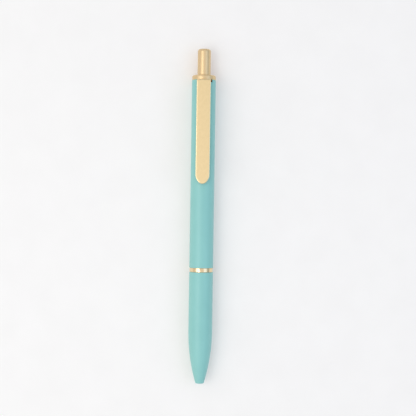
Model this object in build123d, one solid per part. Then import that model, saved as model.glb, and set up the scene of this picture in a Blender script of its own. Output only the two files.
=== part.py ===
from build123d import *
import os
from math import radians, sqrt, tan

# A click gel pen, drawn as the pieces it comes apart into.  Sizes are in millimetres.
#
# Every piece is drawn standing up: the pen's axis is Z, the nose end is at height 0
# and the clip is on the -Y side.  lay_down() then turns the pen onto its back, with
# the nose towards -Y, the clip upwards and the origin on the table below its middle.

# Outside of the pen
LENGTH = 140.8
BARREL_R = 5.0
NOSE_R = 1.75
NOSE_EDGE_R = 0.42
TAPER_TOP = 22.0
RING_LOW = 46.9
RING_TOP = 48.7
RING_R = 4.84
RING_BORE_R = 4.1
COLLAR_LOW = 127.65
COLLAR_TOP = 129.6
COLLAR_R = 4.95
COLLAR_EDGE_R = 0.55
BUTTON_R = 2.75
BUTTON_EDGE_R = 1.05
EDGE = 0.12
SAME = 0.001

# Clip, with heights above the pen's axis
CLIP_WIDTH = 5.8
CLIP_LOW = 83.95
CLIP_TOP = 127.55
CLIP_UNDER = 5.9
CLIP_FACE = 6.8
CLIP_TIP_R = 2.1
CLIP_SHOULDER_R = 4.5
CLIP_EDGE_R = 0.22
CLIP_BEND_R = 0.6
CLIP_TAB = 0.8
CLIP_RING_INNER = 3.45
CLIP_RING_OUTER = 4.3
CLIP_RING_SPAN = 120
BEAD_HEIGHT = 88.0
BEAD_R = 1.5
BEAD_REACH = 5.05
NOTCH_DEPTH = 1.15
NOTCH_LEFT = 2.95
NOTCH_RIGHT = 3.5

# Rear half
REAR_BORE_R = 4.4
COLLAR_BORE_R = 2.82
COLLAR_GROOVE_R = 3.35
COLLAR_GROOVE_LOW = 126.5
SLEEVE_LOW = 97.0
SLEEVE_TOP = 118.0
SLEEVE_BORE_R = 3.7
COUPLING_TOP = 56.7
COUPLING_NECK_R = 3.95
COUPLING_BORE_R = 3.15

# Thread between the halves: ridge widths are at its root and its crest
THREAD_PITCH = 0.75
THREAD_LOW = 40.4
THREAD_TOP = 46.2
THREAD_ROOT_R = 3.6
THREAD_CREST_R = 4.0
THREAD_CREST_WIDTH = 0.094
THREAD_GAP = 0.05
THREAD_START = THREAD_LOW + THREAD_PITCH / 2
INSERT_LOW = 39.9
INSERT_R = 4.5

# Click mechanism
STROKE = 6.0
TEETH = 8
CROWN_RISE = 1.2
CROWN_DEPTH = 1.2 * CROWN_RISE
CROWN_INNER_R = 1.7
CROWN_OUTER_R = 2.8
CROWN_GAP = 0.05
STEP_GAP = 0.5
ROTOR_TURN = 22.5
FIN_COUNT = 4
FIN_WIDTH = 12
FIN_LENGTH = 2.6
FIN_DROP = 0.2
FIN_R = 3.6
RIB_WIDTH = 24
RIB_STOP_WIDTH = 4
RIB_INNER_R = 3.1
RIB_LOW = 102.6
RIB_TOP = 117.5
CAM_BODY_R = 2.9
CAM_STEM_R = 1.5
ROTOR_LOW = 99.5
ROTOR_CROWN = 107.2
ROTOR_STEM_TOP = 113.0
PLUNGER_BORE_R = 1.6
PLUNGER_STOP = 117.9
PLUNGER_NECK_R = 2.7
BUTTON_LOW = 123.5
BUTTON_BORE_R = 2.1
BUTTON_BORE_TOP = 138.2
BUTTON_STEM_TOP = 131.0
SPLINE_WIDTH = 64
SPLINE_LOW = 113.5
SPLINE_R = 3.62

# Refill: the common 98 mm metal-pen format
BALL_R = 0.25
BALL_HEIGHT = 1.6
SOCKET_GAP = 0.01
POINT_LOW = 1.5
POINT_TIP_R = 0.36
POINT_CONE_TOP = 4.2
POINT_R = 1.15
POINT_FEED_R = 0.12
POINT_FEED_TOP = 2.4
POINT_BORE_R = 0.6
POINT_STEM_R = 0.9
POINT_STEM_TOP = 13.0
HOLDER_LOW = 9.0
HOLDER_R = 1.5
HOLDER_CHANNEL_R = 0.8
FLANGE_LOW = 25.0
TUBE_LOW = 26.0
TUBE_TOP = 98.45
TUBE_R = 3.0
TUBE_BORE_R = 2.55
HOLDER_PLUG_TOP = 33.0
INK_TOP = 82.0
FOLLOWER_TOP = 88.0
END_PLUG_LOW = 94.45
END_PLUG_TOP = 99.45
VENT_R = 0.5
SEAL_WIRE_R = 0.05
SEAL_COIL_R = 0.35
SEAL_LOW = 2.55
SEAL_TOP = 8.5
SEAL_PITCH = 0.5

# Bore of the front half, and the return spring in it
NOSE_BORE_R = 1.25
NOSE_BORE_TOP = 2.2
GUIDE_LOW = 3.5
GUIDE_R = 1.75
SPRING_SEAT = 7.5
CHAMBER_R = 2.45
CHAMBER_TOP = FLANGE_LOW - STROKE
REFILL_BORE_R = 3.2
SPRING_R = 2.05
SPRING_WIRE_R = 0.2
SPRING_TOP = 24.95
SPRING_TURNS = 12

TOOTH_ANGLE = 360 / TEETH
CLIMB_PER_DEGREE = CROWN_RISE / TOOTH_ANGLE


# ---- building blocks ----

def rod(radius, low, high):
    """A cylinder about the pen's axis between two heights."""
    form = Cylinder(radius, high - low, align=(Align.CENTER, Align.CENTER, Align.MIN))
    return Pos(0, 0, low) * form


def tube(outer, inner, low, high):
    """A plain sleeve about the pen's axis."""
    return rod(outer, low, high) - rod(inner, low, high)


def turned(*corners):
    """A lathe-turned solid: the closed outline through (radius, height) corners."""
    outline = make_face(Polyline(*corners, close=True))
    return revolve(Plane.XZ * outline, Axis.Z)


def segment(inner, outer, low, high, start, width):
    """A block of a ring, `width` degrees wide from the angle `start`."""
    outline = Pos((inner + outer) / 2, (low + high) / 2) * Rectangle(outer - inner, high - low)
    return Rot(0, 0, start) * revolve(Plane.XZ * outline, Axis.Z, width)


def ramp(inner, outer, low, depth, start, width):
    """A ring segment whose top and bottom climb like a spiral stair from the height `low`."""
    middle = (inner + outer) / 2
    path = Helix(360 * CLIMB_PER_DEGREE, width * CLIMB_PER_DEGREE, middle)
    outline = Pos(middle, depth / 2) * Rectangle(outer - inner, depth)
    step = sweep(Plane.XZ * outline, path, is_frenet=True)
    return Pos(0, 0, low) * Rot(0, 0, start) * step


def coil(radius, wire, low, high, pitch):
    """A round-wire helix whose wire stays between two heights."""
    path = Helix(pitch, high - low - 2 * wire, radius)
    start = Plane(path @ 0, z_dir=path % 0)
    spring = sweep(start * Circle(wire), path, is_frenet=True)
    return Pos(0, 0, low + wire) * spring


def circles_at(form, height, radius):
    """The round edges of a solid at one height and radius."""
    edges = form.edges().filter_by(GeomType.CIRCLE)
    return [e for e in edges if abs(e.center().Z - height) < SAME and abs(e.radius - radius) < SAME]


def thread_ridge(gap, low, high):
    """The helical ridge of the barrel thread, grown all round by `gap`."""
    slope = tan(radians(30))
    deep = THREAD_ROOT_R - THREAD_GAP
    tall = THREAD_CREST_R + gap
    crest_half = THREAD_CREST_WIDTH / 2 + gap
    base_half = crest_half + (tall - deep) * slope
    outline = make_face(Polyline(
        (deep, -base_half), (tall, -crest_half), (tall, crest_half), (deep, base_half), close=True))
    path = Helix(THREAD_PITCH, high - low, THREAD_ROOT_R)
    return Pos(0, 0, low) * sweep(Plane.XZ * outline, path, is_frenet=True)


# ---- rear half of the pen ----

def rear_barrel():
    """Painted tube, notched at its top end where the clip's tab goes in."""
    shell = tube(BARREL_R, REAR_BORE_R, RING_TOP, COLLAR_LOW)
    ends = circles_at(shell, RING_TOP, BARREL_R) + circles_at(shell, COLLAR_LOW, BARREL_R)
    shell = chamfer(ends, EDGE)
    notch = Pos(-NOTCH_LEFT, -2 * BARREL_R, COLLAR_LOW - NOTCH_DEPTH) * Box(
        NOTCH_LEFT + NOTCH_RIGHT, 2 * BARREL_R, 2 * NOTCH_DEPTH, align=Align.MIN)
    return shell - notch


def top_collar():
    """Closes the rear barrel; the clip's ring sits in the groove below its flange."""
    collar = turned(
        (COLLAR_BORE_R, SLEEVE_TOP),
        (REAR_BORE_R, SLEEVE_TOP),
        (REAR_BORE_R, COLLAR_GROOVE_LOW),
        (COLLAR_GROOVE_R, COLLAR_GROOVE_LOW),
        (COLLAR_GROOVE_R, COLLAR_LOW),
        (COLLAR_R, COLLAR_LOW),
        (COLLAR_R, COLLAR_TOP),
        (COLLAR_BORE_R, COLLAR_TOP))
    collar = fillet(circles_at(collar, COLLAR_TOP, COLLAR_R), COLLAR_EDGE_R)
    collar = chamfer(circles_at(collar, COLLAR_LOW, COLLAR_R), EDGE)
    return fillet(circles_at(collar, COLLAR_TOP, COLLAR_BORE_R), EDGE)


def cam_sleeve():
    """Fixed guide: the grooves between its ribs carry the plunger's splines and the fins."""
    sleeve = tube(REAR_BORE_R, SLEEVE_BORE_R, SLEEVE_LOW, SLEEVE_TOP)
    outer = (SLEEVE_BORE_R + REAR_BORE_R) / 2
    slope_width = RIB_WIDTH - RIB_STOP_WIDTH
    highest = RIB_LOW + slope_width * CLIMB_PER_DEGREE
    for rib in range(FIN_COUNT):
        start = rib * 360 / FIN_COUNT - RIB_WIDTH / 2
        sleeve += segment(RIB_INNER_R, outer, highest, RIB_TOP, start, slope_width)
        sleeve += ramp(RIB_INNER_R, outer, RIB_LOW, FIN_LENGTH, start, slope_width)
        sleeve += segment(RIB_INNER_R, outer, RIB_LOW, RIB_TOP, start + slope_width, RIB_STOP_WIDTH)
    return sleeve


def barrel_coupling():
    """Pressed into the rear barrel; its threaded end screws into the front half."""
    body = turned(
        (COUPLING_BORE_R, THREAD_LOW),
        (THREAD_ROOT_R, THREAD_LOW),
        (THREAD_ROOT_R, RING_LOW),
        (COUPLING_NECK_R, RING_LOW),
        (COUPLING_NECK_R, RING_TOP),
        (REAR_BORE_R, RING_TOP),
        (REAR_BORE_R, COUPLING_TOP),
        (COUPLING_BORE_R, COUPLING_TOP))
    return body + thread_ridge(0, THREAD_START, THREAD_TOP)


# ---- clip ----

def clip_outline():
    """The clip seen from its face: straight sides and a tapered, rounded end."""
    half = CLIP_WIDTH / 2
    reach = CLIP_SHOULDER_R - CLIP_TIP_R
    inset = CLIP_SHOULDER_R - half
    shoulder = CLIP_LOW + CLIP_TIP_R + sqrt(reach**2 - inset**2)
    meet_x = CLIP_TIP_R * inset / reach
    meet_z = CLIP_LOW + CLIP_TIP_R - CLIP_TIP_R * sqrt(1 - (inset / reach) ** 2)
    right = TangentArc((half, shoulder), (meet_x, meet_z), tangent=(0, -1))
    tip = ThreePointArc((meet_x, meet_z), (0, CLIP_LOW), (-meet_x, meet_z))
    left = mirror(right, about=Plane.YZ)
    back = Polyline((-half, shoulder), (-half, CLIP_TOP), (half, CLIP_TOP), (half, shoulder))
    return make_face(Curve() + [right, tip, left, back])


def clip_side():
    """The clip seen from its side: the strip, the bend and the tab into the barrel."""
    tab_under = CLIP_TOP - CLIP_TAB
    inside = (CLIP_RING_INNER + CLIP_RING_OUTER) / 2
    face = make_face(Polyline(
        (-inside, CLIP_TOP),
        (-CLIP_FACE, CLIP_TOP),
        (-CLIP_FACE, CLIP_LOW),
        (-CLIP_UNDER, CLIP_LOW),
        (-CLIP_UNDER, tab_under),
        (-inside, tab_under),
        close=True))
    bend = face.vertices().sort_by(Axis.X)[:2].sort_by(Axis.Y)[-1]
    return fillet(bend, CLIP_BEND_R)


def clip_bead():
    """The dimple under the clip's free end, which touches the barrel."""
    depth = CLIP_UNDER - BEAD_REACH
    ball_r = (BEAD_R**2 + depth**2) / (2 * depth)
    ball = Pos(0, -BEAD_REACH - ball_r, BEAD_HEIGHT) * Sphere(ball_r)
    slab_deep = (CLIP_FACE + CLIP_UNDER) / 2 - BEAD_REACH
    slab = Pos(0, -BEAD_REACH - slab_deep / 2, BEAD_HEIGHT) * Box(2 * ball_r, slab_deep, 2 * ball_r)
    return ball & slab


def clip():
    """Sprung strip with a part ring that hooks round the collar."""
    strip = extrude(Plane.YZ * clip_side(), CLIP_WIDTH / 2, both=True)
    strip &= extrude(Plane.XZ * clip_outline(), 2 * CLIP_FACE)
    on_face = [e for e in strip.edges() if abs(e.center().Y + CLIP_FACE) < SAME]
    rim = [e for e in on_face if e.center().Z < CLIP_TOP - CLIP_BEND_R - SAME]
    strip = fillet(rim, CLIP_EDGE_R)
    hook = segment(CLIP_RING_INNER, CLIP_RING_OUTER, CLIP_TOP - CLIP_TAB, CLIP_TOP,
                   -90 - CLIP_RING_SPAN / 2, CLIP_RING_SPAN)
    return strip + hook + clip_bead()


# ---- click mechanism ----

def push_button():
    """The visible button, bored to take the plunger's stem."""
    button = turned(
        (BUTTON_BORE_R, BUTTON_LOW),
        (BUTTON_R, BUTTON_LOW),
        (BUTTON_R, LENGTH),
        (0, LENGTH),
        (0, BUTTON_BORE_TOP),
        (BUTTON_BORE_R, BUTTON_BORE_TOP))
    return fillet(circles_at(button, LENGTH, BUTTON_R), BUTTON_EDGE_R)


def plunger():
    """Carries the button; its splines run in the sleeve and its crown turns the rotor."""
    offset = ROTOR_TURN + STEP_GAP
    tips = ROTOR_CROWN + offset * CLIMB_PER_DEGREE + CROWN_GAP
    valleys = tips + CROWN_RISE
    body = turned(
        (PLUNGER_BORE_R, valleys),
        (CAM_BODY_R, valleys),
        (CAM_BODY_R, PLUNGER_STOP),
        (PLUNGER_NECK_R, PLUNGER_STOP),
        (PLUNGER_NECK_R, BUTTON_LOW),
        (BUTTON_BORE_R, BUTTON_LOW),
        (BUTTON_BORE_R, BUTTON_STEM_TOP),
        (PLUNGER_BORE_R, BUTTON_STEM_TOP))
    for tooth in range(TEETH):
        start = offset + tooth * TOOTH_ANGLE
        body += ramp(CROWN_INNER_R, CROWN_OUTER_R, tips, CROWN_DEPTH, start, TOOTH_ANGLE)
    for groove in range(FIN_COUNT):
        start = (groove + 0.5) * 360 / FIN_COUNT - SPLINE_WIDTH / 2
        body += segment(PLUNGER_NECK_R, SPLINE_R, SPLINE_LOW, PLUNGER_STOP, start, SPLINE_WIDTH)
    return body


def cam_rotor():
    """Pushes the refill; the plunger's crown turns it and its fins latch under the ribs."""
    body = rod(CAM_BODY_R, ROTOR_LOW, ROTOR_CROWN) + rod(CAM_STEM_R, ROTOR_CROWN, ROTOR_STEM_TOP)
    crown_low = ROTOR_CROWN - CROWN_DEPTH
    for tooth in range(TEETH):
        start = tooth * TOOTH_ANGLE
        body += ramp(CROWN_INNER_R, CROWN_OUTER_R, crown_low, CROWN_DEPTH, start, TOOTH_ANGLE)
    fin_climb = FIN_WIDTH * CLIMB_PER_DEGREE
    for fin in range(FIN_COUNT):
        start = (fin + 0.5) * 360 / FIN_COUNT - FIN_WIDTH / 2
        low = ROTOR_CROWN - FIN_DROP - fin_climb - FIN_LENGTH
        body += ramp(PLUNGER_NECK_R, FIN_R, low, FIN_LENGTH, start, FIN_WIDTH)
    return body


# ---- refill ----

def writing_ball():
    """The ball in the refill's point."""
    return Pos(0, 0, BALL_HEIGHT) * Sphere(BALL_R)


def point_cone():
    """Metal point: the ball's socket, an ink feed and the stem pressed into the holder."""
    point = turned(
        (POINT_FEED_R, POINT_LOW),
        (POINT_TIP_R, POINT_LOW),
        (POINT_R, POINT_CONE_TOP),
        (POINT_R, HOLDER_LOW),
        (POINT_STEM_R, HOLDER_LOW),
        (POINT_STEM_R, POINT_STEM_TOP),
        (POINT_BORE_R, POINT_STEM_TOP),
        (POINT_BORE_R, POINT_FEED_TOP),
        (POINT_FEED_R, POINT_FEED_TOP))
    return point - Pos(0, 0, BALL_HEIGHT) * Sphere(BALL_R + SOCKET_GAP)


def ball_spring():
    """Hair-thin spring whose straight end keeps the ball shut against its seat."""
    foot_top = SEAL_LOW + 4 * SEAL_WIRE_R
    spring = coil(SEAL_COIL_R, SEAL_WIRE_R, SEAL_LOW + SEAL_WIRE_R, SEAL_TOP, SEAL_PITCH)
    spring += rod(SEAL_COIL_R + 2 * SEAL_WIRE_R, SEAL_LOW, foot_top)
    return spring + rod(SEAL_WIRE_R, BALL_HEIGHT + BALL_R + SOCKET_GAP, foot_top - SEAL_WIRE_R)


def tip_holder():
    """Plastic piece between the point and the tube; the return spring pushes its flange."""
    return turned(
        (POINT_STEM_R, HOLDER_LOW),
        (HOLDER_R, HOLDER_LOW),
        (HOLDER_R, FLANGE_LOW),
        (TUBE_R, FLANGE_LOW),
        (TUBE_R, TUBE_LOW),
        (TUBE_BORE_R, TUBE_LOW),
        (TUBE_BORE_R, HOLDER_PLUG_TOP),
        (HOLDER_CHANNEL_R, HOLDER_PLUG_TOP),
        (HOLDER_CHANNEL_R, POINT_STEM_TOP),
        (POINT_STEM_R, POINT_STEM_TOP))


def refill_tube():
    """Clear tube that holds the ink."""
    return tube(TUBE_R, TUBE_BORE_R, TUBE_LOW, TUBE_TOP)


def ink_column():
    """Gel ink in the tube and in the holder's channel."""
    ink = rod(TUBE_BORE_R, HOLDER_PLUG_TOP, INK_TOP)
    return ink + rod(HOLDER_CHANNEL_R, POINT_STEM_TOP, HOLDER_PLUG_TOP)


def ink_follower():
    """Grease plug that follows the ink as it is used."""
    return rod(TUBE_BORE_R, INK_TOP, FOLLOWER_TOP)


def refill_end_plug():
    """Vented plug that the rotor presses on."""
    return turned(
        (VENT_R, END_PLUG_LOW),
        (TUBE_BORE_R, END_PLUG_LOW),
        (TUBE_BORE_R, TUBE_TOP),
        (TUBE_R, TUBE_TOP),
        (TUBE_R, END_PLUG_TOP),
        (VENT_R, END_PLUG_TOP))


# ---- front half of the pen ----

def center_ring():
    """Polished ring held between the two barrels."""
    ring = tube(RING_R, RING_BORE_R, RING_LOW, RING_TOP)
    edges = circles_at(ring, RING_LOW, RING_R) + circles_at(ring, RING_TOP, RING_R)
    return fillet(edges, EDGE)


def front_barrel():
    """Painted front half: a straight grip that bows in to the nose, bored in steps."""
    bow = TangentArc((BARREL_R, TAPER_TOP), (NOSE_R, 0), tangent=(0, -1))
    rest = Polyline((NOSE_R, 0), (0, 0), (0, RING_LOW), (BARREL_R, RING_LOW), (BARREL_R, TAPER_TOP))
    form = revolve(Plane.XZ * make_face(Curve() + [bow, rest]), Axis.Z)
    form = fillet(circles_at(form, 0, NOSE_R), NOSE_EDGE_R)
    form = chamfer(circles_at(form, RING_LOW, BARREL_R), EDGE)
    return form - turned(
        (0, 0),
        (NOSE_BORE_R, 0),
        (NOSE_BORE_R, NOSE_BORE_TOP),
        (GUIDE_R, GUIDE_LOW),
        (GUIDE_R, SPRING_SEAT),
        (CHAMBER_R, SPRING_SEAT),
        (CHAMBER_R, CHAMBER_TOP),
        (REFILL_BORE_R, CHAMBER_TOP),
        (REFILL_BORE_R, INSERT_LOW),
        (INSERT_R, INSERT_LOW),
        (INSERT_R, RING_LOW),
        (0, RING_LOW))


def thread_insert():
    """Brass sleeve pressed into the front barrel, threaded for the coupling."""
    sleeve = tube(INSERT_R, THREAD_ROOT_R + THREAD_GAP, INSERT_LOW, RING_LOW)
    return sleeve - thread_ridge(THREAD_GAP, THREAD_START - 2 * THREAD_PITCH, RING_LOW + THREAD_PITCH)


def return_spring():
    """Pushes the refill back; it sits between the nose's step and the holder's flange."""
    pitch = (SPRING_TOP - SPRING_SEAT - 2 * SPRING_WIRE_R) / SPRING_TURNS
    return coil(SPRING_R, SPRING_WIRE_R, SPRING_SEAT, SPRING_TOP, pitch)


PIECES = [
    rear_barrel, top_collar, cam_sleeve, barrel_coupling, clip, push_button, plunger, cam_rotor,
    refill_tube, tip_holder, point_cone, ball_spring, ink_column, ink_follower, refill_end_plug,
    writing_ball, center_ring, front_barrel, thread_insert, return_spring,
]


def lay_down(piece):
    """Turns a standing piece onto its back and sets the pen down on the table."""
    return Pos(0, -LENGTH / 2, BARREL_R) * Rot(-90, 0, 0) * piece


os.makedirs("parts", exist_ok=True)
for make_piece in PIECES:
    export_step(lay_down(make_piece()), f"parts/{make_piece.__name__}.step")
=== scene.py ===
import math

import bmesh
import bpy
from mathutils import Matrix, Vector


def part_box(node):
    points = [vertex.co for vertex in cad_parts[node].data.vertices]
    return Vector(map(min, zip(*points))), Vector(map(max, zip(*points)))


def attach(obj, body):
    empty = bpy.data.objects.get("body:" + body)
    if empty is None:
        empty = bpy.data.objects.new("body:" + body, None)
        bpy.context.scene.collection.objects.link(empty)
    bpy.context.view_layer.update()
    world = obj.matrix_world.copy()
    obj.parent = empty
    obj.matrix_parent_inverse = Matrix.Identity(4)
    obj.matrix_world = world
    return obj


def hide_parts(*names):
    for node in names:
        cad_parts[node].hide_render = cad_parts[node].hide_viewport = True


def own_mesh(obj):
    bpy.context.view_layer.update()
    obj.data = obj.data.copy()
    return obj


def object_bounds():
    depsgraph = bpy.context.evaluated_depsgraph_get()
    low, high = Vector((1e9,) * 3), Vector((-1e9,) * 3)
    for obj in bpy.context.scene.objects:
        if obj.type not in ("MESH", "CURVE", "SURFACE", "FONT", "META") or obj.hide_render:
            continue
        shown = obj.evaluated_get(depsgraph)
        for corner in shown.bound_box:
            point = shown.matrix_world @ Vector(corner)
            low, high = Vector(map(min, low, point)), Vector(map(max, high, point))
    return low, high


# A click gel pen lying on its back.  Its axis runs along Y with the nose towards -Y, and
# its clip points up.  Outlines are drawn in millimetres: a radius from the pen's axis and
# a height along the pen, measured from the nose end.
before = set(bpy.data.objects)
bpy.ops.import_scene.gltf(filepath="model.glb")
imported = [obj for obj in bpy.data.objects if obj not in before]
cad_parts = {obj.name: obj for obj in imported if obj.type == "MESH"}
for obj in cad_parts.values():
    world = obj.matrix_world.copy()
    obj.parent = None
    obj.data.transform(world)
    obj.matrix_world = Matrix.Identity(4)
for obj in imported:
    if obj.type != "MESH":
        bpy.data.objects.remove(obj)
cad_low, cad_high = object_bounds()

MM = 0.001
NOSE_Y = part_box("front_barrel")[0].y
BARREL_LOW, BARREL_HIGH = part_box("rear_barrel")
AXIS_X = (BARREL_LOW.x + BARREL_HIGH.x) / 2
AXIS_Z = (BARREL_LOW.z + BARREL_HIGH.z) / 2

# How finely pieces are meshed.  An edge that bends by more than CREASE degrees stays sharp.
# Points nearer than WELD metres become one, and edges shorter than SLIVER metres are dropped.
ROUND_STEPS = 192
CREASE = 40
COIL_CREASE = 60
TINY = 1e-6
WELD = 1e-7
SLIVER = 1e-8

# Sizes in millimetres that the CAD boxes don't give.  Names ending in _EDGE are roundings of
# corners, and names ending in _ROWS or _COLUMNS count faces.
PAINT_THICK = 0.3
RUNNING_GAP = 0.02
FINE_EDGE = 0.05
SMALL_EDGE = 0.1
BORE_EDGE = 0.12
BARREL_EDGE = 0.14

NOSE_R = 1.75
NOSE_EDGE = 0.34
TAPER_TOP = 22.0
TAPER_ROWS = 32
NOSE_BORE_R = 1.25
NOSE_BORE_TOP = 2.2
GUIDE_R = 1.75
GUIDE_LOW = 3.5
CHAMBER_R = 2.45
CHAMBER_TOP = 19.0
REFILL_BORE_R = 3.2

REAR_BORE_R = 4.4
NOTCH_DEPTH = 1.15
NOTCH_LEFT = 2.95
NOTCH_RIGHT = 3.5
RING_BORE_R = 4.1
COLLAR_BORE_R = 2.82
COLLAR_GROOVE_R = 3.35
COLLAR_GROOVE_DROP = 1.05
COLLAR_EDGE = 0.55
BUTTON_BORE_R = 2.1
BUTTON_CROWN = 2.6
BUTTON_EDGE = 1.05
BUTTON_EDGE_ROWS = 10

CLIP_HALF = 2.9
CLIP_SHEET = 0.8
CLIP_TIP_R = 2.1
CLIP_SHOULDER_R = 4.5
CLIP_BEND_R = 0.6
CLIP_TAB_LOW = 4.0
CLIP_COLUMNS = 18
TIP_ROWS = 8
SHOULDER_ROWS = 10
BEND_ROWS = 12
TAB_ROWS = 3
ROW_GAP = 0.6
FINE_ROW_GAP = 0.15
BEVEL_WIDE = 0.22
BEVEL_DROP = 0.1
UNDER_EDGE = 0.08
SIDE_EDGE = 0.1
FACE_EDGE = 0.5
PROFILE_ROWS = 3
BEAD_HEIGHT = 88.0
BEAD_R = 1.5
BEAD_REACH = 5.05
BEAD_POWER = 1.2
FINE_ZONE = 1.8
HOOK_INNER_R = 3.45
HOOK_OUTER_R = 4.3
HOOK_SPAN = 2 * math.pi / 3

COIL_R = 2.05
WIRE_R = 0.2
COIL_TURNS = 13
COIL_ROWS = 36 * COIL_TURNS
WIRE_COLUMNS = 12
CLOSED_TURNS = 1.25
GROUND_SHARE = 0.3


def heights(node):
    """Where a CAD node starts and ends along the pen, in millimetres from the nose end."""
    low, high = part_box(node)
    return (low.y - NOSE_Y) / MM, (high.y - NOSE_Y) / MM


def radius_of(node):
    """A turned CAD node's outer radius in millimetres."""
    low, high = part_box(node)
    return (high.x - low.x) / 2 / MM


def rise_of(node):
    """The highest point of a CAD node above the pen's axis, in millimetres."""
    return (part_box(node)[1].z - AXIS_Z) / MM


# ---- mesh building blocks ----

def rounded(corners, steps=6):
    """Points of a closed outline whose corners are (radius, height, size of the rounding)."""
    points = []
    for i, (radius, height, size) in enumerate(corners):
        here = Vector((radius, height))
        if not size:
            points.append(here)
            continue
        before = (Vector(corners[i - 1][:2]) - here).normalized()
        after = (Vector(corners[(i + 1) % len(corners)][:2]) - here).normalized()
        half = before.angle(after) / 2
        centre = here + (before + after).normalized() * size / math.sin(half)
        first = here + before * size / math.tan(half) - centre
        last = here + after * size / math.tan(half) - centre
        sweep = math.pi - 2 * half
        for step in range(steps + 1):
            turn = sweep * step / steps
            arm = first * math.sin(sweep - turn) + last * math.sin(turn)
            points.append(centre + arm / math.sin(sweep))
    return points


def place(x, height, rise):
    """A point beside, along and above the pen's axis, given in millimetres, in the row frame."""
    return Vector((AXIS_X + x * MM, NOSE_Y + height * MM, AXIS_Z + rise * MM))


def turned_point(radius, height, angle):
    """The same for a point given by its angle round the axis, 0 at the clip and growing towards +X."""
    return place(radius * math.sin(angle), height, radius * math.cos(angle))


def to_object(mesh_edit, name):
    """Turns a finished bmesh into an object whose faces all look outwards."""
    bmesh.ops.recalc_face_normals(mesh_edit, faces=mesh_edit.faces)
    mesh = bpy.data.meshes.new(name)
    mesh_edit.to_mesh(mesh)
    mesh_edit.free()
    piece = bpy.data.objects.new(name, mesh)
    bpy.context.scene.collection.objects.link(piece)
    return piece


def finish_shading(piece, crease):
    """Smooth shading that keeps flat faces flat and sharp corners sharp."""
    piece.data.shade_smooth()
    piece.data.set_sharp_from_angle(angle=math.radians(crease))
    weighted = piece.modifiers.new("even_normals", "WEIGHTED_NORMAL")
    weighted.keep_sharp = True


def lathe(name, outline, first=0.0, span=2 * math.pi):
    """A turned piece: a closed outline of (radius, height) points spun about the pen's axis."""
    full = span > 2 * math.pi - TINY
    steps = max(3, round(ROUND_STEPS * span / (2 * math.pi)))
    edit = bmesh.new()
    columns = []
    for radius, height in outline:
        if radius < TINY:
            pole = edit.verts.new(turned_point(0, height, 0))
            columns.append([pole] * (steps + 1))
            continue
        turns = steps if full else steps + 1
        ring = [edit.verts.new(turned_point(radius, height, first + span * i / steps))
                for i in range(turns)]
        columns.append(ring + ring[:1] if full else ring)
    for a, b in zip(columns, columns[1:] + columns[:1]):
        for i in range(steps):
            corners = list(dict.fromkeys((a[i], a[i + 1], b[i + 1], b[i])))
            if len(corners) > 2:
                edit.faces.new(corners)
    if not full:
        edit.faces.new([c[0] for c in columns])
        edit.faces.new([c[-1] for c in columns])
    return to_object(edit, name)


def bridge(edit, loops):
    """Spans faces from each closed loop of points to the next, and returns the loops' vertices."""
    rings = [[edit.verts.new(point) for point in loop] for loop in loops]
    for a, b in zip(rings, rings[1:]):
        for i in range(len(a)):
            edit.faces.new((a[i - 1], a[i], b[i], b[i - 1]))
    return rings


def block(name, low, high):
    """A closed box between two corners given as (x, height, rise) in millimetres."""
    edit = bmesh.new()
    bmesh.ops.create_cube(edit, size=1)
    for vert in edit.verts:
        share = vert.co + Vector((0.5, 0.5, 0.5))
        vert.co = place(*(low[i] + (high[i] - low[i]) * share[i] for i in range(3)))
    return to_object(edit, name)


def combine(piece, tool, operation):
    """Joins or cuts a piece with another closed mesh, which is used up."""
    modifier = piece.modifiers.new("combine", "BOOLEAN")
    modifier.operation = operation
    modifier.solver = "EXACT"
    modifier.object = tool
    ready = bpy.context.evaluated_depsgraph_get()
    mesh = bpy.data.meshes.new_from_object(piece.evaluated_get(ready))
    piece.modifiers.clear()
    piece.data = mesh
    bpy.data.objects.remove(tool)


# ---- materials ----

NOISE_LOW = 0.3
NOISE_HIGH = 0.7


def srgb(red, green, blue):
    """A colour given as it looks on a screen, from 0 to 1, as the opaque linear colour nodes want."""
    linear = [c / 12.92 if c <= 0.04045 else ((c + 0.055) / 1.055) ** 2.4 for c in (red, green, blue)]
    return (*linear, 1.0)


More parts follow.
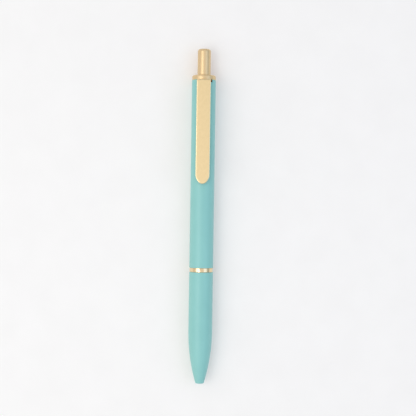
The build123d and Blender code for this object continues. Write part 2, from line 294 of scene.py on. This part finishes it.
class Look:
    """A node material under construction.  Sizes in its textures are in millimetres."""

    def __init__(self, name, **settings):
        self.material = bpy.data.materials.new(name)
        self.material.use_nodes = True
        self.nodes = self.material.node_tree.nodes
        self.links = self.material.node_tree.links
        self.shader = self.nodes["Principled BSDF"]
        for setting, value in settings.items():
            self.shader.inputs[setting.replace("_", " ")].default_value = value

    def feed(self, setting, socket):
        """Connects an output socket to one of the shader's inputs."""
        self.links.new(socket, self.shader.inputs[setting])

    def places(self, cell):
        """Coordinates that count in cells of the given millimetre size along X, Y and Z."""
        where = self.nodes.new("ShaderNodeTexCoord")
        scaled = self.nodes.new("ShaderNodeMapping")
        scaled.inputs["Scale"].default_value = [1 / (MM * size) for size in cell]
        self.links.new(where.outputs["Object"], scaled.inputs["Vector"])
        return scaled.outputs["Vector"]

    def noise(self, cell, detail=2.0):
        """Noise whose grains are about `cell` millimetres across, given per axis."""
        texture = self.nodes.new("ShaderNodeTexNoise")
        texture.inputs["Scale"].default_value = 1.0
        texture.inputs["Detail"].default_value = detail
        self.links.new(self.places(cell), texture.inputs["Vector"])
        return texture.outputs["Fac"]

    def spread(self, value, low, high):
        """Stretches a noise value, which seldom leaves its middle range, to run from low to high."""
        scaled = self.nodes.new("ShaderNodeMapRange")
        scaled.inputs["From Min"].default_value = NOISE_LOW
        scaled.inputs["From Max"].default_value = NOISE_HIGH
        scaled.inputs["To Min"].default_value = low
        scaled.inputs["To Max"].default_value = high
        self.links.new(value, scaled.inputs["Value"])
        return scaled.outputs["Result"]

    def tint(self, value, first, second):
        """Mixes two colours by a 0 to 1 value."""
        mix = self.nodes.new("ShaderNodeMix")
        mix.data_type = "RGBA"
        mix.inputs["A"].default_value = first
        mix.inputs["B"].default_value = second
        self.links.new(value, mix.inputs["Factor"])
        return mix.outputs["Result"]

    def bump(self, value, depth):
        """Raises the surface by `depth` millimetres where the value is 1."""
        relief = self.nodes.new("ShaderNodeBump")
        relief.inputs["Distance"].default_value = depth * MM
        self.links.new(value, relief.inputs["Height"])
        if self.shader.inputs["Normal"].is_linked:
            earlier = self.shader.inputs["Normal"].links[0].from_socket
            self.links.new(earlier, relief.inputs["Normal"])
        self.feed("Normal", relief.outputs["Normal"])


def speckled(look, first, second, cell, detail=2.0):
    """Gives a look a colour that drifts between two tones."""
    drift = look.spread(look.noise(cell, detail), 0, 1)
    look.feed("Base Color", look.tint(drift, first, second))


def teal_paint():
    """Satin two-pack paint: a hair of orange peel, and a roughness that drifts."""
    look = Look("teal_paint", IOR=1.5)
    speckled(look, srgb(0.545, 0.785, 0.765), srgb(0.56, 0.80, 0.78), (6, 9, 6))
    look.feed("Roughness", look.spread(look.noise((1.2, 2.0, 1.2)), 0.36, 0.44))
    look.bump(look.noise((0.35, 0.35, 0.35)), 0.0025)
    look.bump(look.noise((0.06, 0.06, 0.06), 1), 0.0006)
    return look.material


def clip_plating():
    """Pearl gold plating over a fine blasted grain."""
    look = Look("clip_plating", Metallic=1.0)
    speckled(look, srgb(0.93, 0.835, 0.64), srgb(0.95, 0.855, 0.665), (0.9, 1.4, 0.9), 4)
    look.feed("Roughness", look.spread(look.noise((0.3, 0.3, 0.3), 3), 0.36, 0.46))
    look.bump(look.noise((0.09, 0.09, 0.09), 2), 0.0012)
    return look.material


def clip_edge_plating():
    """The same gold where the strip's bevelled edges were tumbled bright."""
    look = Look("clip_edge_plating", Metallic=1.0)
    speckled(look, srgb(0.93, 0.85, 0.68), srgb(0.95, 0.87, 0.70), (0.6, 1.5, 0.6), 3)
    look.feed("Roughness", look.spread(look.noise((0.4, 1.2, 0.4), 2), 0.22, 0.28))
    look.bump(look.noise((0.2, 1.0, 0.2), 1), 0.0002)
    return look.material


def satin_plating():
    """Gold plating with the fine rings that turning leaves."""
    look = Look("satin_plating", Metallic=1.0)
    speckled(look, srgb(0.895, 0.79, 0.61), srgb(0.91, 0.805, 0.63), (4, 0.8, 4), 3)
    look.feed("Roughness", look.spread(look.noise((3, 0.3, 3), 2), 0.39, 0.44))
    look.bump(look.noise((6, 0.06, 6), 1), 0.0001)
    return look.material


def mirror_plating():
    """Polished gold with a trace of polishing lines round it."""
    look = Look("mirror_plating", Metallic=1.0)
    speckled(look, srgb(0.93, 0.835, 0.665), srgb(0.95, 0.855, 0.695), (3, 0.4, 3), 3)
    look.feed("Roughness", look.spread(look.noise((4, 0.15, 4), 2), 0.15, 0.2))
    look.bump(look.noise((8, 0.06, 8), 1), 0.0001)
    return look.material


def machined(name, first, second, rough):
    """Bare turned metal: tool rings, and a colour that drifts with handling."""
    look = Look(name, Metallic=1.0)
    speckled(look, first, second, (2.5, 1.0, 2.5), 4)
    look.feed("Roughness", look.spread(look.noise((3, 0.12, 3), 2), rough - 0.06, rough + 0.08))
    look.bump(look.noise((9, 0.07, 9), 1), 0.0012)
    return look.material


def moulded(name, first, second, rough):
    """Moulded plastic: an eggshell skin and faint flow marks along the piece."""
    look = Look(name, IOR=1.48)
    speckled(look, first, second, (1.5, 5.0, 1.5), 3)
    look.feed("Roughness", look.spread(look.noise((0.5, 1.0, 0.5)), rough - 0.06, rough + 0.06))
    look.bump(look.noise((0.12, 0.12, 0.12), 2), 0.0015)
    return look.material


def clear(name, colour, rough, ior):
    """Clear plastic or grease: light passes, and the skin is a little uneven."""
    look = Look(name, Base_Color=colour, IOR=ior, Transmission_Weight=0.92)
    look.feed("Roughness", look.spread(look.noise((0.8, 3.0, 0.8)), rough, rough + 0.08))
    look.bump(look.noise((0.9, 2.0, 0.9), 1), 0.002)
    return look.material


def ink_look():
    """Glossy black gel with a little unevenness where it wets the tube."""
    look = Look("gel_ink_look", Roughness=0.12, IOR=1.4)
    speckled(look, srgb(0.03, 0.03, 0.045), srgb(0.06, 0.06, 0.08), (2, 6, 2), 3)
    look.bump(look.noise((1.2, 3.0, 1.2), 1), 0.004)
    return look.material


def paper():
    """Plain white paper for the floor: a trace of fibre, and a faint glow that lightens shadows."""
    look = Look("paper", Roughness=0.9, Emission_Strength=0.22, Emission_Color=(1.0, 0.78, 0.76, 1))
    speckled(look, srgb(0.86, 0.88, 0.87), srgb(0.87, 0.89, 0.88), (14, 14, 14), 3)
    look.bump(look.noise((0.3, 0.3, 0.3), 2), 0.002)
    return look.material


# ---- visible pieces ----

BODY_R = radius_of("front_barrel")


def skin_r(height):
    """Radius of the painted skin: straight, then bowing in towards the nose."""
    drop = BODY_R - NOSE_R
    bow_r = (TAPER_TOP**2 + drop**2) / (2 * drop)
    below = max(0, TAPER_TOP - height)
    return BODY_R - bow_r + math.sqrt(bow_r**2 - below**2)


def front_barrel():
    """The grip: straight, then bowing in to a small rounded nose, and bored in steps."""
    end = heights("front_barrel")[1]
    seat = heights("return_spring")[0]
    insert_low = heights("thread_insert")[0]
    insert_r = radius_of("thread_insert")
    rows = [TAPER_TOP * row / TAPER_ROWS for row in range(1, TAPER_ROWS + 1)]
    bow = [(skin_r(height), height, 0) for height in rows]
    return lathe("grip_barrel", rounded([
        (NOSE_BORE_R, 0, BORE_EDGE),
        (NOSE_R, 0, NOSE_EDGE),
        *bow,
        (BODY_R, end, BARREL_EDGE),
        (insert_r, end, FINE_EDGE),
        (insert_r, insert_low, 0),
        (REFILL_BORE_R, insert_low, 0),
        (REFILL_BORE_R, CHAMBER_TOP, 2 * SMALL_EDGE),
        (CHAMBER_R, CHAMBER_TOP, SMALL_EDGE),
        (CHAMBER_R, seat, SMALL_EDGE),
        (GUIDE_R, seat, SMALL_EDGE),
        (GUIDE_R, GUIDE_LOW, SMALL_EDGE),
        (NOSE_BORE_R, NOSE_BORE_TOP, SMALL_EDGE)]))


def rear_barrel():
    """The straight upper tube with the notch for the clip's tab in its top end."""
    low, high = heights("rear_barrel")
    outer = radius_of("rear_barrel")
    tube = lathe("rear_tube", rounded([
        (REAR_BORE_R, low, FINE_EDGE),
        (outer, low, BARREL_EDGE),
        (outer, high, BARREL_EDGE),
        (REAR_BORE_R, high, FINE_EDGE)]))
    notch_low = (-NOTCH_LEFT, high - NOTCH_DEPTH, 0)
    notch = block("notch", notch_low, (NOTCH_RIGHT, high + 1, outer + 1))
    combine(tube, notch, "DIFFERENCE")
    return tube


def centre_ring():
    """The polished band between the barrels, with room for the front barrel to turn against it."""
    low, high = heights("center_ring")
    outer = radius_of("center_ring")
    return lathe("centre_band", rounded([
        (RING_BORE_R, low + RUNNING_GAP, SMALL_EDGE),
        (outer, low + RUNNING_GAP, BARREL_EDGE),
        (outer, high, BARREL_EDGE),
        (RING_BORE_R, high, SMALL_EDGE)]))


def top_collar():
    """The cap ring of the rear barrel, rounded over at its shoulder."""
    low, high = heights("top_collar")
    outer = radius_of("top_collar")
    barrel_top = heights("rear_barrel")[1]
    groove_low = heights("clip")[1] - COLLAR_GROOVE_DROP
    return lathe("collar_cap", rounded([
        (COLLAR_BORE_R, low, SMALL_EDGE),
        (REAR_BORE_R, low, 2 * SMALL_EDGE),
        (REAR_BORE_R, groove_low, FINE_EDGE),
        (COLLAR_GROOVE_R, groove_low, FINE_EDGE),
        (COLLAR_GROOVE_R, barrel_top, FINE_EDGE),
        (outer, barrel_top, SMALL_EDGE),
        (outer, high, COLLAR_EDGE),
        (COLLAR_BORE_R, high, BORE_EDGE)]))


def push_button():
    """The button: a plain turned stud with a rounded end, hollow underneath."""
    low, high = heights("push_button")
    outer = radius_of("push_button")
    return lathe("button_cap", rounded([
        (BUTTON_BORE_R, low, SMALL_EDGE),
        (outer, low, SMALL_EDGE),
        (outer, high, BUTTON_EDGE),
        (0, high, 0),
        (0, high - BUTTON_CROWN, 0),
        (BUTTON_BORE_R, high - BUTTON_CROWN, 2 * SMALL_EDGE)], BUTTON_EDGE_ROWS))


def clip_rows(arm, bead_at):
    """Rows across the clip's flat strip, tip first, as (centre x, centre distance, angle, radius)."""
    reach = CLIP_SHOULDER_R - CLIP_TIP_R
    meet = math.asin((CLIP_SHOULDER_R - CLIP_HALF) / reach)
    shoulder = CLIP_TIP_R + reach * math.cos(meet)
    square = math.pi / 2
    rows = [(0, CLIP_TIP_R, meet * row / TIP_ROWS, CLIP_TIP_R) for row in range(TIP_ROWS + 1)]
    for row in range(1, SHOULDER_ROWS + 1):
        angle = meet + (square - meet) * row / SHOULDER_ROWS
        rows.append((CLIP_HALF - CLIP_SHOULDER_R, shoulder, angle, CLIP_SHOULDER_R))
    distance = shoulder
    while distance < arm:
        distance += FINE_ROW_GAP if abs(distance - bead_at) < FINE_ZONE else ROW_GAP
        rows.append((0, min(distance, arm), square, CLIP_HALF))
    return rows


def clip_fold(high, face):
    """Pairs of points (height, rise) on the clip's inner and outer skin, round its bend and down its tab."""
    back = high - CLIP_SHEET
    under = face - CLIP_SHEET
    pairs = []
    for row in range(BEND_ROWS + 1):
        angle = math.pi / 2 * row / BEND_ROWS
        height = high - CLIP_BEND_R + CLIP_BEND_R * math.sin(angle)
        rise = face - CLIP_BEND_R + CLIP_BEND_R * math.cos(angle)
        pairs.append(((back, under), (height, rise)))
    for row in range(TAB_ROWS + 1):
        rise = under + (CLIP_TAB_LOW - under) * row / TAB_ROWS
        pairs.append(((back, rise), (high, rise)))
    return pairs


def clip_profile():
    """One long edge of the strip, from its underside over the bevel to its face, as (inset, lift)."""
    inside = 2 * BEVEL_WIDE
    outline = rounded([
        (inside, 0, 0),
        (0, 0, UNDER_EDGE),
        (0, CLIP_SHEET - BEVEL_DROP, SIDE_EDGE),
        (BEVEL_WIDE, CLIP_SHEET, FACE_EDGE),
        (inside, CLIP_SHEET, 0)], PROFILE_ROWS)
    return outline[1:-1]


def clip_bead(x, distance, depth):
    """How far the dimple pushes out the underside at a place measured from the dimple's middle."""
    away = min(math.hypot(x, distance) / BEAD_R, 1)
    return depth * math.cos(away * math.pi / 2) ** BEAD_POWER


def clip_loop(row, bead_at, bead_depth):
    """All round the strip's section at one row, as (x, distance, lift)."""
    centre_x, centre_d, angle, radius = row
    side = []
    for inset, lift in clip_profile():
        reach = radius - inset
        side.append((centre_x + reach * math.sin(angle), centre_d - reach * math.cos(angle), lift))
    face_x, face_d, _ = side[-1]
    low_x, low_d, _ = side[0]
    shares = [1 - 2 * column / CLIP_COLUMNS for column in range(1, CLIP_COLUMNS)]
    points = [(-x, distance, lift) for x, distance, lift in side]
    points += [(-share * face_x, face_d, CLIP_SHEET) for share in shares]
    points += side[::-1]
    for share in shares:
        points.append((share * low_x, low_d, -clip_bead(share * low_x, low_d - bead_at, bead_depth)))
    return points


def clip_hook(high):
    """The curved foot of the clip's tab, which sits in the collar's groove."""
    low = high - CLIP_SHEET
    top = high - FINE_EDGE
    return lathe("hook", [
        (HOOK_INNER_R, low),
        (HOOK_OUTER_R, low),
        (HOOK_OUTER_R, top),
        (HOOK_INNER_R, top)], -HOOK_SPAN / 2, HOOK_SPAN)


def clip():
    """A sprung strip of sheet: rounded end, bevelled edges, a bend and a tab that hooks the collar."""
    low, high = heights("clip")
    face = rise_of("clip")
    under = face - CLIP_SHEET
    arm = high - CLIP_SHEET - low
    bead_at = BEAD_HEIGHT - low
    bead_depth = under - BEAD_REACH
    loops = []
    for row in clip_rows(arm, bead_at):
        loop = clip_loop(row, bead_at, bead_depth)
        loops.append([place(x, low + distance, under + lift) for x, distance, lift in loop])
    section = loop
    for inner, outer in clip_fold(high, face):
        loops.append([])
        for x, _, lift in section:
            share = max(lift, 0) / CLIP_SHEET
            height, rise = ((1 - share) * a + share * b for a, b in zip(inner, outer))
            loops[-1].append(place(x, height, rise))
    edit = bmesh.new()
    rings = bridge(edit, loops)
    edit.faces.new(rings[-1])
    bmesh.ops.remove_doubles(edit, verts=edit.verts, dist=WELD)
    bmesh.ops.dissolve_degenerate(edit, edges=edit.edges, dist=SLIVER)
    strip = to_object(edit, "pocket_clip")
    combine(strip, clip_hook(high), "UNION")
    return strip


def coil_height(turn, low, high):
    """Height of the spring wire's centre after a number of turns: closed ends, open between."""
    wire = 2 * WIRE_R
    open_turns = COIL_TURNS - 2 * CLOSED_TURNS
    pitch = (high - low - wire - 2 * CLOSED_TURNS * wire) / open_turns
    shut = min(turn, CLOSED_TURNS) + max(0, turn - (COIL_TURNS - CLOSED_TURNS))
    return low + WIRE_R + shut * wire + (turn - shut) * pitch


def return_spring():
    """A wire spring with closed ends ground flat."""
    low, high = heights("return_spring")
    ground = GROUND_SHARE * WIRE_R
    loops = []
    for row in range(COIL_ROWS + 1):
        turn = COIL_TURNS * row / COIL_ROWS
        loop = []
        for column in range(WIRE_COLUMNS):
            angle = 2 * math.pi * column / WIRE_COLUMNS
            height = coil_height(turn, low, high) + WIRE_R * math.sin(angle)
            height = min(max(height, low + ground), high - ground)
            loop.append(turned_point(COIL_R + WIRE_R * math.cos(angle), height, 2 * math.pi * turn))
        loops.append(loop)
    edit = bmesh.new()
    rings = bridge(edit, loops)
    edit.faces.new(rings[0])
    edit.faces.new(rings[-1])
    return to_object(edit, "return_coil")


# ---- putting the pen together ----

def dress(piece, body, node, material, crease=CREASE):
    """Puts a finished mesh in place of a CAD node."""
    piece.data.materials.clear()
    piece.data.materials.append(material)
    finish_shading(piece, crease)
    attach(piece, body)
    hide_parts(node)
    return piece


def bare_inside(piece, material):
    """Gives every face of a painted barrel that lies under its skin bare metal."""
    piece.data.materials.append(material)
    for face in piece.data.polygons:
        away = math.hypot(face.center.x - AXIS_X, face.center.z - AXIS_Z) / MM
        along = (face.center.y - NOSE_Y) / MM
        if away < skin_r(along) - PAINT_THICK:
            face.material_index = 1


def bright_edges(piece, material):
    """Gives the clip's bevels, sides and bend a brighter finish than its level faces."""
    level = 0.97
    piece.data.materials.append(material)
    for face in piece.data.polygons:
        if abs(face.normal.z) < level:
            face.material_index = 1


def squash_spring(spring):
    """Gives the spring a copy of its mesh of its own."""
    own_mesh(spring)


def build_pieces(brass, steel):
    """Every piece that is drawn afresh in place of its CAD node."""
    teal = teal_paint()
    satin = satin_plating()
    grip = dress(front_barrel(), "front", "front_barrel", teal)
    bare_inside(grip, brass)
    tube = dress(rear_barrel(), "barrel", "rear_barrel", teal)
    bare_inside(tube, brass)
    dress(centre_ring(), "ring", "center_ring", mirror_plating())
    dress(top_collar(), "barrel", "top_collar", satin)
    dress(push_button(), "knock", "push_button", satin)
    strip = dress(clip(), "clip", "clip", clip_plating())
    bright_edges(strip, clip_edge_plating())
    spring = dress(return_spring(), "front", "return_spring", steel, COIL_CREASE)
    squash_spring(spring)


def finish_cad_nodes(brass, steel):
    """A real material on every CAD node that stays."""
    white = moulded("white_acetal", srgb(0.90, 0.90, 0.87), srgb(0.94, 0.94, 0.91), 0.45)
    looks = {
        "barrel_coupling": brass,
        "thread_insert": brass,
        "cam_sleeve": white,
        "refill_end_plug": white,
        "plunger": moulded("grey_acetal", srgb(0.30, 0.31, 0.33), srgb(0.36, 0.37, 0.39), 0.5),
        "cam_rotor": moulded("blue_acetal", srgb(0.18, 0.34, 0.58), srgb(0.24, 0.40, 0.64), 0.45),
        "refill_tube": clear("clear_tube", srgb(0.95, 0.97, 0.98), 0.08, 1.49),
        "tip_holder": clear("clear_holder", srgb(0.93, 0.96, 0.98), 0.15, 1.49),
        "ink_column": ink_look(),
        "ink_follower": clear("clear_grease", srgb(0.95, 0.90, 0.70), 0.2, 1.46),
        "point_cone": machined("nickel_silver", srgb(0.80, 0.79, 0.75), srgb(0.87, 0.86, 0.82), 0.22),
        "ball_spring": steel,
        "writing_ball": machined("carbide", srgb(0.58, 0.58, 0.60), srgb(0.64, 0.64, 0.66), 0.15),
    }
    for node, material in looks.items():
        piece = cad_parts[node]
        piece.data.materials.clear()
        piece.data.materials.append(material)
        finish_shading(piece, CREASE)


def build_pen():
    """The whole pen, with the two metals that drawn pieces and CAD nodes share."""
    brass = machined("bare_brass", srgb(0.80, 0.66, 0.40), srgb(0.87, 0.73, 0.47), 0.3)
    steel = machined("spring_wire", srgb(0.66, 0.66, 0.68), srgb(0.75, 0.75, 0.77), 0.3)
    build_pieces(brass, steel)
    finish_cad_nodes(brass, steel)


# ---- studio ----

LEFT_GLOW = (0.74, 0.71, 0.71)
RIGHT_GLOW = (0.38, 0.47, 0.53)
OVERHEAD_GLOW = (0.82, 0.81, 0.83)
WARM_WHITE = (1, 0.985, 0.95)
COOL_BLUE = (0.45, 0.65, 1)
LIGHT_DISTANCE = 0.6
LIGHT_LENGTH = 0.44


def add_floor():
    """A wide sheet of white paper under the pen."""
    edit = bmesh.new()
    bmesh.ops.create_circle(edit, cap_ends=True, segments=96, radius=3.0)
    floor = to_object(edit, "floor")
    floor.location.z = cad_low.z
    floor.data.materials.append(paper())


def add_light(name, left, forward, width, watts, colour):
    """A soft box aimed at the pen, leaning `left` towards -X and `forward` towards the nose, in degrees."""
    light = bpy.data.lights.new(name, "AREA")
    light.shape = "RECTANGLE"
    light.size = width
    light.size_y = LIGHT_LENGTH
    light.energy = watts
    light.color = colour
    lamp = bpy.data.objects.new(name, light)
    away = Vector((-math.tan(math.radians(left)), -math.tan(math.radians(forward)), 1)).normalized()
    lamp.location = Vector((AXIS_X, 0, AXIS_Z)) + away * LIGHT_DISTANCE
    lamp.rotation_mode = "QUATERNION"
    lamp.rotation_quaternion = away.to_track_quat("Z", "X")
    lamp.visible_camera = False
    bpy.context.scene.collection.objects.link(lamp)


def add_world():
    """Pale surroundings that fill the shadows: dimmer near the horizon, a little bluer on the right."""
    world = bpy.data.worlds.new("studio")
    world.use_nodes = True
    nodes = world.node_tree.nodes
    links = world.node_tree.links
    where = nodes.new("ShaderNodeTexCoord")
    split = nodes.new("ShaderNodeSeparateXYZ")
    links.new(where.outputs["Generated"], split.inputs[0])

    def ramp(axis, low, high, first, second):
        """Mixes two colours, or sockets, as a direction's X or Z part runs from low to high."""
        share = nodes.new("ShaderNodeMapRange")
        share.inputs["From Min"].default_value = low
        share.inputs["From Max"].default_value = high
        links.new(split.outputs[axis], share.inputs["Value"])
        mix = nodes.new("ShaderNodeMix")
        mix.data_type = "RGBA"
        for end, colour in (("A", first), ("B", second)):
            if isinstance(colour, tuple):
                mix.inputs[end].default_value = (*colour, 1)
            else:
                links.new(colour, mix.inputs[end])
        links.new(share.outputs["Result"], mix.inputs["Factor"])
        return mix.outputs["Result"]

    horizon = ramp("X", low=-0.8, high=0.8, first=LEFT_GLOW, second=RIGHT_GLOW)
    dome = ramp("Z", low=0.1, high=0.9, first=horizon, second=OVERHEAD_GLOW)
    links.new(dome, nodes["Background"].inputs["Color"])
    bpy.context.scene.world = world


def add_camera():
    """Looks straight down from just under half a metre, a little to the pen's right."""
    height = 0.465
    picture_width = 0.1754
    to_right = 0.0025
    to_button = 0.0035
    lean = math.radians(0.86)
    camera = bpy.data.cameras.new("camera")
    camera.lens = camera.sensor_width * height / picture_width
    camera.clip_start = 0.01
    camera.clip_end = 20
    viewer = bpy.data.objects.new("camera", camera)
    viewer.location = (AXIS_X + to_right, to_button, AXIS_Z + height)
    viewer.rotation_euler = (0, 0, lean)
    bpy.context.scene.collection.objects.link(viewer)
    bpy.context.scene.camera = viewer


build_pen()
add_floor()
add_light("key", left=23, forward=8, width=0.16, watts=0.5, colour=WARM_WHITE)
add_light("side", left=40, forward=8, width=0.26, watts=0.45, colour=WARM_WHITE)
add_light("right_fill", left=-43, forward=0, width=0.34, watts=0.4, colour=COOL_BLUE)
add_world()
add_camera()
bpy.context.scene.view_settings.view_transform = "Standard"
